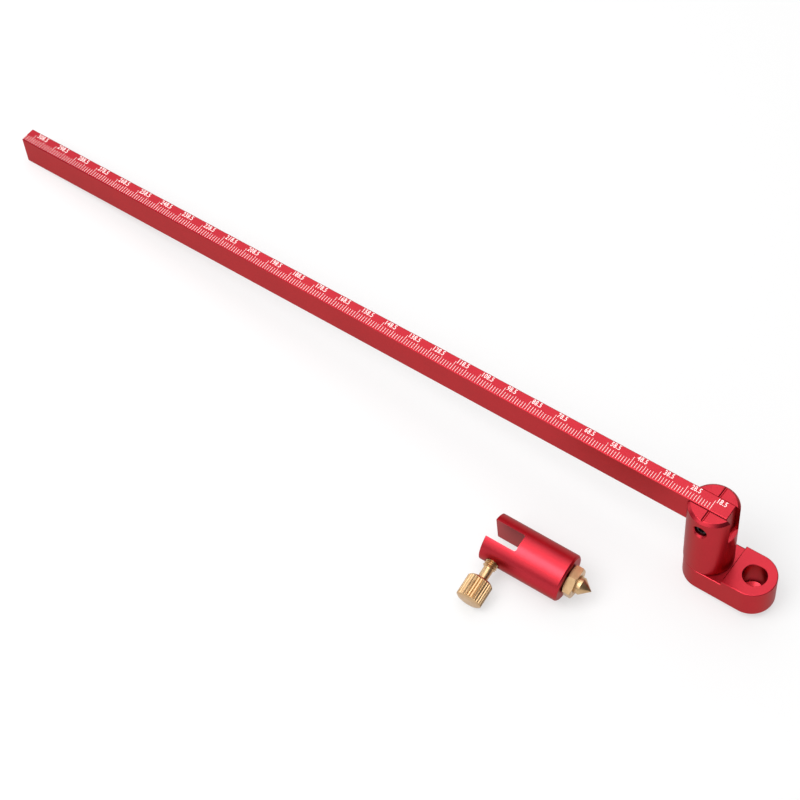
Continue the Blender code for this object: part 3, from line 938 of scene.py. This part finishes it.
@dataclass(frozen=True)
class SlottedPost:
    """The post: a turned column with the bar's slot, sight lines and lock screw hole."""

    diameter: float = 16.8 * MM
    base: float = 9.7 * MM
    height: float = 29.1 * MM
    top_chamfer: float = 1.0 * MM
    base_chamfer: float = 0.3 * MM
    slot_half: float = 3.12 * MM
    slot_floor: float = 27.5 * MM
    slot_flare: float = 0.12 * MM
    slot_lip: float = 6.4 * MM
    slot_fall: float = 0.7 * MM
    line_half: float = 0.5 * MM
    line_floor: float = 0.12 * MM
    line_depth: float = 0.32 * MM
    screw_drop: float = 5.8 * MM
    screw_bore: float = 2.2 * MM
    screw_mouth: float = 0.4 * MM
    foot_bore: float = 2.7 * MM
    foot_bore_depth: float = 9.7 * MM
    easing: float = 0.06 * MM

    def build(self, placement: Placement) -> None:
        """Turn the column, cut it and dress it.

        Args:
            placement: The tool's frame.
        """
        radius = self.diameter / 2
        top = self.base + self.height
        profile = [(0.0, self.base), (radius - self.base_chamfer, self.base),
                   (radius, self.base + self.base_chamfer), (radius, top - self.top_chamfer),
                   (radius - self.top_chamfer, top), (0.0, top)]
        obj = new_object("column", turned(softened(profile, self.easing), LARGE_STEPS))
        combine(obj, [self.slot_cutter(top), self.lip_cutter(top), self.line_cutter(top),
                      self.lock_hole_cutter(top), self.foot_hole_cutter()])
        place(obj, Piece("post_column", "post_assembly", "red_aluminium", "post"), placement,
              RED_ANODISED.make(placement, Lay.ROUND))

    @property
    def beyond(self) -> float:
        """Return a distance from the axis that lies outside the column."""
        return self.diameter / 2 + OVERRUN

    def slot_cutter(self, top: float) -> bmesh.types.BMesh:
        """Make the slot, which flares a little where it meets the top.

        Args:
            top: Height of the column's top.

        Returns:
            The slot's shape.
        """
        half = self.slot_half
        wide = half + self.slot_flare + OVERRUN
        outline = [(-half, self.slot_floor), (half, self.slot_floor),
                   (half, top - self.slot_flare), (wide, top + OVERRUN),
                   (-wide, top + OVERRUN), (-half, top - self.slot_flare)]
        return prism(outline, -self.beyond, self.beyond, ALONG_X)

    def lip_cutter(self, top: float) -> bmesh.types.BMesh:
        """Make the cut that slopes the slot's floor down towards its two ends.

        Args:
            top: Height of the column's top.

        Returns:
            The cut's shape.
        """
        end, lip, floor = self.beyond, self.slot_lip, self.slot_floor
        low = floor - self.slot_fall * (end - lip) / (self.diameter / 2 - lip)
        outline = [(-end, low), (-lip, floor), (lip, floor), (end, low), (end, top - OVERRUN),
                   (-end, top - OVERRUN)]
        return prism(outline, -self.slot_half, self.slot_half, ALONG_Y)

    def line_cutter(self, top: float) -> bmesh.types.BMesh:
        """Make the sight line across the top, square to the bar, with sloping sides.

        Args:
            top: Height of the column's top.

        Returns:
            The line's shape.
        """
        floor, half = self.line_floor, self.line_half
        outline = [(-floor, top - self.line_depth), (floor, top - self.line_depth), (half, top),
                   (half, top + OVERRUN), (-half, top + OVERRUN), (-half, top)]
        return prism(outline, -self.beyond, self.beyond, ALONG_Y)

    def lock_hole_cutter(self, top: float) -> bmesh.types.BMesh:
        """Make the hole of the lock screw, with a chamfered mouth.

        Args:
            top: Height of the column's top.

        Returns:
            The hole's shape.
        """
        bore, end = self.screw_bore, self.beyond
        mouth = math.sqrt((self.diameter / 2) ** 2 - bore ** 2) - self.screw_mouth
        profile = [(0.0, 0.0), (bore, 0.0), (bore, mouth), (bore + end - mouth, end), (0.0, end)]
        spot = Matrix.Translation((0.0, 0.0, top - self.screw_drop))
        return turned(profile, SMALL_STEPS, spot @ ALONG_Y)

    def foot_hole_cutter(self) -> bmesh.types.BMesh:
        """Make the blind hole of the foot's screw.

        Returns:
            The hole's shape.
        """
        hole = rod(self.foot_bore, self.base - OVERRUN, self.base + self.foot_bore_depth,
                   high_tip=self.foot_bore / 2)
        return turned(hole, SMALL_STEPS)


@dataclass(frozen=True)
class PencilFoot:
    """The foot: a rounded plate with a low seat and a raised pad round the pencil hole."""

    width: float = 16.4 * MM
    reach: float = 16.2 * MM
    seat: float = 9.5 * MM
    pad_rise: float = 2.0 * MM
    step: float = 9.2 * MM
    rim: float = 0.35 * MM
    hole_diameter: float = 8.0 * MM
    hole_from_axis: float = 17.0 * MM
    hole_chamfer: float = 0.2 * MM
    hole_seat: float = 2.6 * MM
    seat_depths: tuple[float, float] = (0.5 * MM, 1.2 * MM)
    head_bore: float = 4.45 * MM
    head_depth: float = 5.6 * MM
    shank_bore: float = 2.7 * MM
    easing: float = 0.07 * MM

    def build(self, placement: Placement) -> None:
        """Build the plate, cut its holes and dress it.

        Args:
            placement: The tool's frame.
        """
        shape = self.blank()
        self.round_rims(shape)
        obj = new_object("plate", shape)
        combine(obj, [self.pencil_cutter(), self.screw_cutter()])
        place(obj, Piece("foot_plate", "foot", "red_aluminium", "foot"), placement,
              RED_ANODISED.make(placement, Lay.BLASTED))

    def blank(self) -> bmesh.types.BMesh:
        """Make the plate with its two levels.

        Returns:
            The plate's shape, with sharp edges.
        """
        radius = self.width / 2
        half_turn = LARGE_STEPS // 2
        top = self.seat + self.pad_rise
        seat = arc((0.0, 0.0), radius, QUARTER_TURN, math.pi, half_turn)
        pad = arc((self.reach, 0.0), radius, -QUARTER_TURN, math.pi, half_turn)
        step = [(self.step, -radius), (self.step, radius)]
        shape = bmesh.new()
        low_seat, low_pad, seat_ring, pad_ring, inner, outer = (
            [shape.verts.new((x, y, height)) for x, y in points]
            for points, height in ((seat, 0.0), (pad, 0.0), (seat, self.seat), (pad, top),
                                   (step, self.seat), (step, top)))
        shape.faces.new(low_seat + low_pad)
        shape.faces.new(seat_ring + inner)
        shape.faces.new([outer[0]] + pad_ring + [outer[1]])
        shape.faces.new([inner[0], inner[1], outer[1], outer[0]])
        for low, high in ((low_seat, seat_ring), (low_pad, pad_ring)):
            for index in range(len(low) - 1):
                shape.faces.new([low[index], low[index + 1], high[index + 1], high[index]])
        shape.faces.new([low_seat[-1], low_pad[0], pad_ring[0], outer[0], inner[0], seat_ring[-1]])
        shape.faces.new([low_pad[-1], low_seat[0], seat_ring[0], inner[1], outer[1], pad_ring[-1]])
        bmesh.ops.recalc_face_normals(shape, faces=shape.faces)
        return shape

    def round_rims(self, shape: bmesh.types.BMesh) -> None:
        """Round the level rims of the plate's flat faces.

        Args:
            shape: The plate's shape.
        """
        rims = []
        for edge in shape.edges:
            level = abs(edge.verts[0].co.z - edge.verts[1].co.z) < WELD
            flats = any(abs(face.normal.z) > math.cos(SMOOTH_ANGLE) for face in edge.link_faces)
            if level and flats and edge.is_convex:
                rims.append(edge)
        bmesh.ops.bevel(shape, geom=rims, offset=self.rim, affect="EDGES",
                        offset_type="OFFSET", segments=RIM_STEPS, profile=0.5,
                        clamp_overlap=False)

    def pencil_cutter(self) -> bmesh.types.BMesh:
        """Make the pencil hole, chamfered at its top, with a drilled seat at its foot.

        Returns:
            The hole's shape.
        """
        radius = self.hole_diameter / 2
        top = self.seat + self.pad_rise
        wide = radius + self.hole_chamfer + OVERRUN
        low, high = self.seat_depths
        profile = [(0.0, -OVERRUN), (self.hole_seat, -OVERRUN), (self.hole_seat, low),
                   (radius, high), (radius, top - self.hole_chamfer), (wide, top + OVERRUN),
                   (0.0, top + OVERRUN)]
        return turned(profile, LARGE_STEPS, Matrix.Translation((self.hole_from_axis, 0.0, 0.0)))

    def screw_cutter(self) -> bmesh.types.BMesh:
        """Make the counterbored hole of the foot's screw.

        Returns:
            The hole's shape.
        """
        top = self.seat + OVERRUN
        profile = [(0.0, -OVERRUN), (self.head_bore, -OVERRUN), (self.head_bore, self.head_depth),
                   (self.shank_bore, self.head_depth), (self.shank_bore, top), (0.0, top)]
        return turned(profile, SMALL_STEPS)


@dataclass(frozen=True)
class SocketScrew:
    """A black socket screw with a real thread, with or without a head."""

    piece: Piece
    diameter: float
    length: float
    pitch: float
    chamfer: float
    socket_across: float
    socket_depth: float
    head_diameter: float = 0.0
    head_height: float = 0.0
    rows_per_turn: int = 8

    def build(self, placement: Placement, tree: bpy.types.NodeTree) -> None:
        """Build the screw, which stands on its socket end, and dress it.

        Args:
            placement: Frame whose Z runs from the socket into the screw.
            tree: The tree that cuts grooves.
        """
        radius = self.diameter / 2
        head = self.head_diameter / 2
        end = self.head_height + self.length
        profile = [(0.0, 0.0)]
        if head:
            profile += [(head - self.chamfer, 0.0), (head, self.chamfer),
                        (head, self.head_height), (radius, self.head_height)]
        else:
            profile += [(radius - self.chamfer, 0.0), (radius, self.chamfer)]
        profile += [(radius, end - self.chamfer), (radius - self.chamfer, end), (0.0, end)]
        rows = with_rows(profile, self.pitch / self.rows_per_turn, self.head_height, end)
        obj = new_object("screw", turned(rows, SMALL_STEPS))
        material = BLACK_OXIDE.make(placement, Lay.ROUND)
        thread = Grooves.thread(radius, self.pitch, self.head_height + WELD, end - WELD)
        thread.cut(obj, tree, material)
        corner = hexagon_radius(self.socket_across)
        socket = rod(corner, -OVERRUN, self.socket_depth, high_tip=corner / 2)
        combine(obj, [turned(socket, HEX_SIDES)])
        place(obj, self.piece, placement, material)


# The headless screw that locks the bar, and the distance of its point from the post's axis
LOCK_SCREW = SocketScrew(
    Piece("lock_screw_threaded", "lock_screw", "black_steel", "bar_lock_screw"),
    diameter=4.0 * MM, length=4.0 * MM, pitch=0.7 * MM, chamfer=0.4 * MM,
    socket_across=2.0 * MM, socket_depth=1.8 * MM)
LOCK_SCREW_START = 3.2 * MM

# The screw that holds the foot, and how deep its head is sunk in the foot's underside
FOOT_SCREW = SocketScrew(
    Piece("foot_screw_threaded", "post_assembly", "black_steel", "foot_screw"),
    diameter=5.0 * MM, length=12.0 * MM, pitch=0.8 * MM, chamfer=0.4 * MM,
    socket_across=4.0 * MM, socket_depth=2.5 * MM, head_diameter=8.5 * MM,
    head_height=5.0 * MM)
FOOT_SCREW_SINK = 0.4 * MM


@dataclass(frozen=True)
class SliderBarrel:
    """The slider's body: a turned bar, slotted to pass over the ruler's flat."""

    diameter: float = 16.8 * MM
    length: float = 29.2 * MM
    slot_half: float = 3.25 * MM
    slot_depth: float = 11.2 * MM
    slot_corner: float = 0.7 * MM
    prong_chamfer: float = 0.12 * MM
    nose_chamfer: float = 0.6 * MM
    thumb_from_end: float = 5.1 * MM
    thumb_bore: float = 2.6 * MM
    point_bore: float = 3.2 * MM
    point_bore_depth: float = 13.6 * MM
    easing: float = 0.15 * MM
    eased_angle: float = math.radians(60.0)

    def build(self, placement: Placement) -> None:
        """Turn the barrel, cut it and dress it.

        Args:
            placement: The slider's frame.
        """
        radius = self.diameter / 2
        profile = [(0.0, 0.0), (radius - self.prong_chamfer, 0.0), (radius, self.prong_chamfer),
                   (radius, self.length - self.nose_chamfer),
                   (radius - self.nose_chamfer, self.length), (0.0, self.length)]
        obj = new_object("barrel", turned(softened(profile, self.easing), LARGE_STEPS))
        upright = placement.turned(QUARTER_TURN, "Y")
        combine(obj, [self.slot_cutter(radius), self.thumb_cutter(radius), self.point_cutter()])
        ease_edges(obj, self.easing, self.eased_angle)
        place(obj, Piece("slider_barrel", "slider", "red_aluminium", "slider_body"), upright,
              RED_ANODISED.make(upright, Lay.ROUND))

    def slot_cutter(self, radius: float) -> bmesh.types.BMesh:
        """Make the slot, open at the barrel's lower end, with rounded inner corners.

        Args:
            radius: Radius of the barrel.

        Returns:
            The slot's shape.
        """
        half, corner = self.slot_half, self.slot_corner
        inner = self.slot_depth - corner
        outline = [(-half, -OVERRUN), (half, -OVERRUN)]
        outline += arc((half - corner, inner), corner, 0.0, QUARTER_TURN, CORNER_STEPS)
        outline += arc((corner - half, inner), corner, QUARTER_TURN, QUARTER_TURN, CORNER_STEPS)
        return prism(outline, -radius - OVERRUN, radius + OVERRUN, ALONG_X)

    def thumb_cutter(self, radius: float) -> bmesh.types.BMesh:
        """Make the thumb screw's hole, through one prong.

        Args:
            radius: Radius of the barrel.

        Returns:
            The hole's shape.
        """
        spot = Matrix.Translation((0.0, 0.0, self.thumb_from_end))
        return turned(rod(self.thumb_bore, 0.0, radius + OVERRUN), SMALL_STEPS, spot @ ALONG_Y)

    def point_cutter(self) -> bmesh.types.BMesh:
        """Make the blind hole of the centre point.

        Returns:
            The hole's shape.
        """
        hole = rod(self.point_bore, self.length - self.point_bore_depth, self.length + OVERRUN,
                   low_tip=self.point_bore / 2)
        return turned(hole, SMALL_STEPS)


@dataclass(frozen=True)
class ThumbScrew:
    """The brass thumb screw: a thread, a thin neck and a knurled head."""

    start: float = 3.45 * MM
    thread_diameter: float = 4.8 * MM
    thread_length: float = 6.9 * MM
    thread_chamfer: float = 0.4 * MM
    pitch: float = 0.8 * MM
    neck_diameter: float = 3.5 * MM
    neck_length: float = 4.5 * MM
    head_diameter: float = 9.2 * MM
    head_length: float = 8.7 * MM
    head_chamfer: float = 0.75 * MM
    crown: float = 0.5 * MM
    ribs: int = 30
    rib_depth: float = 0.27 * MM
    rib_crest: float = 0.4
    steps_per_rib: int = 10
    rows_per_turn: int = 9
    rows_per_chamfer: int = 6
    easing: float = 0.1 * MM

    def build(self, placement: Placement, tree: bpy.types.NodeTree) -> None:
        """Turn the screw, cut its thread and its knurl, and dress it.

        Args:
            placement: Frame whose Z runs outwards from the slot.
            tree: The tree that cuts grooves.
        """
        thread, neck, head = (self.thread_diameter / 2, self.neck_diameter / 2,
                              self.head_diameter / 2)
        neck_start = self.thread_length
        head_start = neck_start + self.neck_length
        head_end = head_start + self.head_length
        profile = [(0.0, 0.0), (thread - self.thread_chamfer, 0.0), (thread, self.thread_chamfer),
                   (thread, neck_start - self.thread_chamfer), (neck, neck_start),
                   (neck, head_start), (head - self.head_chamfer, head_start),
                   (head, head_start + self.head_chamfer), (head, head_end - self.head_chamfer),
                   (head - self.head_chamfer, head_end - self.crown / 2),
                   (head / 2, head_end), (0.0, head_end)]
        row = self.head_chamfer / self.rows_per_chamfer
        rows = softened(profile, self.easing)
        for spacing, low, high in ((self.pitch / self.rows_per_turn, 0.0, neck_start),
                                   (row, head_start, head_start + self.head_chamfer),
                                   (row, head_end - self.head_chamfer, head_end)):
            rows = with_rows(rows, spacing, low, high)
        obj = new_object("thumb", turned(rows, self.ribs * self.steps_per_rib))
        material = TURNED_BRASS.make(placement, Lay.ROUND)
        for grooves in (Grooves.thread(thread, self.pitch, WELD, neck_start + WELD),
                        Grooves(head, self.rib_depth, head_start + WELD, head_end - WELD,
                                ribs=self.ribs, crest=self.rib_crest)):
            grooves.cut(obj, tree, material)
        place(obj, Piece("thumb_screw_knurled", "thumb_screw", "brass", "thumb_screw"), placement,
              material)


@dataclass(frozen=True)
class CentrePoint:
    """The brass centre point: a threaded shank, a short collar and a sharp cone."""

    diameter: float = 6.0 * MM
    shank: float = 12.5 * MM
    shank_chamfer: float = 0.5 * MM
    shoulder: float = 3.4 * MM
    collar: float = 1.6 * MM
    cone: float = 3.5 * MM
    tip_radius: float = 0.12 * MM
    pitch: float = 1.0 * MM
    rows_per_turn: int = 9
    easing: float = 0.06 * MM

    def build(self, placement: Placement, tree: bpy.types.NodeTree) -> None:
        """Turn the point, cut its thread and dress it.

        Args:
            placement: Frame at the barrel's nose whose Z runs to the tip.
            tree: The tree that cuts grooves.
        """
        radius = self.diameter / 2
        low = self.shoulder - self.shank
        edge = self.shoulder + self.collar
        profile = [(0.0, low), (radius - self.shank_chamfer, low),
                   (radius, low + self.shank_chamfer), (radius, self.shoulder), (radius, edge),
                   (self.tip_radius, edge + self.cone - self.tip_radius),
                   (0.0, edge + self.cone)]
        rows = with_rows(softened(profile, self.easing), self.pitch / self.rows_per_turn, low,
                         self.shoulder)
        obj = new_object("point", turned(rows, LARGE_STEPS))
        material = TURNED_BRASS.make(placement, Lay.ROUND)
        thread = Grooves.thread(radius, self.pitch, low + WELD, self.shoulder - self.easing)
        thread.cut(obj, tree, material)
        place(obj, Piece("point_turned", "centre_point", "brass", "centre_point"), placement,
              material)


@dataclass(frozen=True)
class LockNut:
    """The brass hexagon nut that locks the centre point, with chamfered corners."""

    across_flats: float = 10.0 * MM
    thickness: float = 3.2 * MM
    gap: float = 0.2 * MM
    turn: float = math.radians(9.0)
    corner_slope: float = math.radians(30.0)
    bore: float = 3.2 * MM
    countersink: float = 0.35 * MM
    easing: float = 0.12 * MM

    def build(self, placement: Placement) -> None:
        """Build the nut and dress it.

        Args:
            placement: Frame at the barrel's nose whose Z runs to the tip.
        """
        corner, flat = hexagon_radius(self.across_flats), self.across_flats / 2
        low, high = self.gap, self.gap + self.thickness
        obj = new_object("nut", turned(rod(corner, low, high), HEX_SIDES,
                                       Matrix.Rotation(self.turn, 4, "Z")))
        rise = math.tan(self.corner_slope)
        beyond = corner + OVERRUN
        reach = (beyond - flat) * rise
        envelope = [(0.0, low - OVERRUN), (flat, low - OVERRUN), (flat, low), (beyond, low + reach),
                    (beyond, high - reach), (flat, high), (flat, high + OVERRUN),
                    (0.0, high + OVERRUN)]
        combine(obj, [turned(envelope, LARGE_STEPS)], "INTERSECT")
        sunk = self.bore + self.countersink + OVERRUN
        hole = [(0.0, low - OVERRUN), (sunk, low - OVERRUN), (self.bore, low + self.countersink),
                (self.bore, high - self.countersink), (sunk, high + OVERRUN),
                (0.0, high + OVERRUN)]
        combine(obj, [turned(hole, SMALL_STEPS)])
        ease_edges(obj, self.easing)
        place(obj, Piece("nut_chamfered", "lock_nut", "brass", "point_lock_nut"), placement,
              TURNED_BRASS.make(placement, Lay.ROUND))


# Studio


@dataclass(frozen=True)
class Lamp:
    """A soft box: a square area lamp in a direction, in degrees from the front and up."""

    name: str
    azimuth: float
    elevation: float
    power: float

    def build(self, aim: Vector, distance: float, size: float) -> None:
        """Hang the lamp at a distance from its aim and turn it to it.

        Args:
            aim: Point that the lamp faces.
            distance: Distance from that point.
            size: Side of the lamp's square face.
        """
        data = bpy.data.lights.new(self.name, "AREA")
        data.shape = "SQUARE"
        data.size = size
        data.energy = self.power
        azimuth, elevation = math.radians(self.azimuth), math.radians(self.elevation)
        towards = Vector((math.sin(azimuth) * math.cos(elevation),
                          -math.cos(azimuth) * math.cos(elevation), math.sin(elevation)))
        obj = bpy.data.objects.new(self.name, data)
        obj.location = aim + towards * distance
        obj.rotation_euler = (-towards).to_track_quat("-Z", "Y").to_euler()
        bpy.context.scene.collection.objects.link(obj)


@dataclass(frozen=True)
class Studio:
    """A pale floor, soft lamps and the camera."""

    floor_half: float = 3.0
    floor_colour: str = "#F4F4F4"
    floor_share: float = 0.33
    floor_glow: float = 0.64
    world_strength: float = 0.14
    lamp_distance: float = 1.2
    lamp_size: float = 0.75
    lamps: tuple[Lamp, ...] = (
        Lamp("low_front_box", azimuth=-22.5, elevation=22.0, power=1.8),
        Lamp("front_box", azimuth=0.0, elevation=32.0, power=1.4),
        Lamp("front_right_box", azimuth=22.5, elevation=32.0, power=1.53),
        Lamp("key_box", azimuth=-35.0, elevation=60.0, power=12.0),
        Lamp("top_box", azimuth=0.0, elevation=90.0, power=2.95),
        Lamp("low_left_box", azimuth=-90.0, elevation=12.0, power=2.48),
        Lamp("low_back_box", azimuth=-160.0, elevation=13.0, power=1.3),
        Lamp("left_box", azimuth=-112.5, elevation=32.0, power=1.07),
        Lamp("back_left_box", azimuth=-135.0, elevation=52.0, power=2.41),
        Lamp("back_box", azimuth=180.0, elevation=52.0, power=1.27),
        Lamp("back_right_box", azimuth=135.0, elevation=72.0, power=2.63),
    )
    aim: tuple[float, float, float] = (0.05, 0.0, 0.01)
    camera_spot: tuple[float, float, float] = (0.237215, -0.300490, 0.600389)
    camera_azimuth: float = math.radians(34.7882)
    camera_elevation: float = math.radians(57.0628)
    camera_roll: float = math.radians(1.5328)
    lens: float = 92.869
    sensor: float = 36.0
    nearest: float = 10.0 * MM

    def build(self) -> None:
        """Build the floor, the world, the lamps and the camera."""
        self.build_floor()
        self.build_world()
        for lamp in self.lamps:
            lamp.build(Vector(self.aim), self.lamp_distance, self.lamp_size)
        self.build_camera()

    def build_floor(self) -> None:
        """Lay the floor, which the camera and the metal see as white paper.

        Most of its white is its own, so that the shadow on it stays pale.
        """
        half = self.floor_half
        shape = bmesh.new()
        shape.faces.new([shape.verts.new((x, y, 0.0)) for x, y in rectangle(-half, half, -half, half)])
        floor = new_object("floor", shape)
        material = bpy.data.materials.new("matt_white_paper")
        tree = empty_tree(material)
        path = add_node(tree, "ShaderNodeLightPath").outputs
        through = add_node(tree, MATH, [path["Is Glossy Ray"], path["Is Transmission Ray"]],
                           operation="MAXIMUM")
        seen = add_node(tree, MATH, [path["Is Camera Ray"], through], operation="MAXIMUM")
        colour = linear(self.floor_colour)
        paper = add_node(tree, "ShaderNodeBsdfDiffuse", {"Color": colour})
        pale = add_node(tree, "ShaderNodeBsdfDiffuse", {
            "Color": (*(channel * self.floor_share for channel in colour[:3]), 1.0)})
        glow = add_node(tree, "ShaderNodeEmission", {"Color": colour, "Strength": self.floor_glow})
        lit = add_node(tree, "ShaderNodeAddShader", [pale, glow])
        mixed = add_node(tree, "ShaderNodeMixShader", [seen, paper, lit])
        add_node(tree, "ShaderNodeOutputMaterial", [mixed])
        floor.data.materials.append(material)

    def build_world(self) -> None:
        """Surround the scene with an even pale light."""
        world = bpy.data.worlds.new("studio_room")
        bpy.context.scene.world = world
        tree = empty_tree(world)
        light = add_node(tree, "ShaderNodeBackground", {
            "Color": linear(PURE_WHITE), "Strength": self.world_strength})
        add_node(tree, "ShaderNodeOutputWorld", [light])

    def build_camera(self) -> None:
        """Set up the camera where the photograph was taken from."""
        data = bpy.data.cameras.new("camera")
        data.lens = self.lens
        data.sensor_width = self.sensor
        data.clip_start = self.nearest
        camera = bpy.data.objects.new("camera", data)
        camera.matrix_world = (
            Matrix.Translation(self.camera_spot)
            @ Matrix.Rotation(self.camera_azimuth, 4, "Z")
            @ Matrix.Rotation(QUARTER_TURN - self.camera_elevation, 4, "X")
            @ Matrix.Rotation(self.camera_roll, 4, "Z"))
        bpy.context.scene.collection.objects.link(camera)
        bpy.context.scene.camera = camera


def main() -> None:
    """Build and dress every piece, then the studio round them."""
    logging.basicConfig(level=logging.INFO, format="%(name)s: %(message)s")
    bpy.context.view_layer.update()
    bpy.context.scene.view_settings.view_transform = "Standard"
    grooves = groove_tree()
    tool = tool_placement()
    GraduatedBar().build(tool)
    post = SlottedPost()
    post.build(tool)
    lock_face = LOCK_SCREW_START + LOCK_SCREW.length
    lock_height = post.base + post.height - post.screw_drop
    LOCK_SCREW.build(tool.moved(y=-lock_face, z=lock_height).turned(-QUARTER_TURN, "X"), grooves)
    PencilFoot().build(tool)
    FOOT_SCREW.build(tool.moved(z=FOOT_SCREW_SINK), grooves)
    barrel = SliderBarrel()
    slider = slider_placement(barrel.length)
    barrel.build(slider)
    thumb = ThumbScrew()
    thumb.build(slider.moved(x=barrel.thumb_from_end, y=-thumb.start).turned(QUARTER_TURN, "X"),
                grooves)
    nose = slider.moved(x=barrel.length).turned(QUARTER_TURN, "Y")
    CentrePoint().build(nose, grooves)
    LockNut().build(nose)
    Studio().build()


if __name__ == "__main__":
    main()
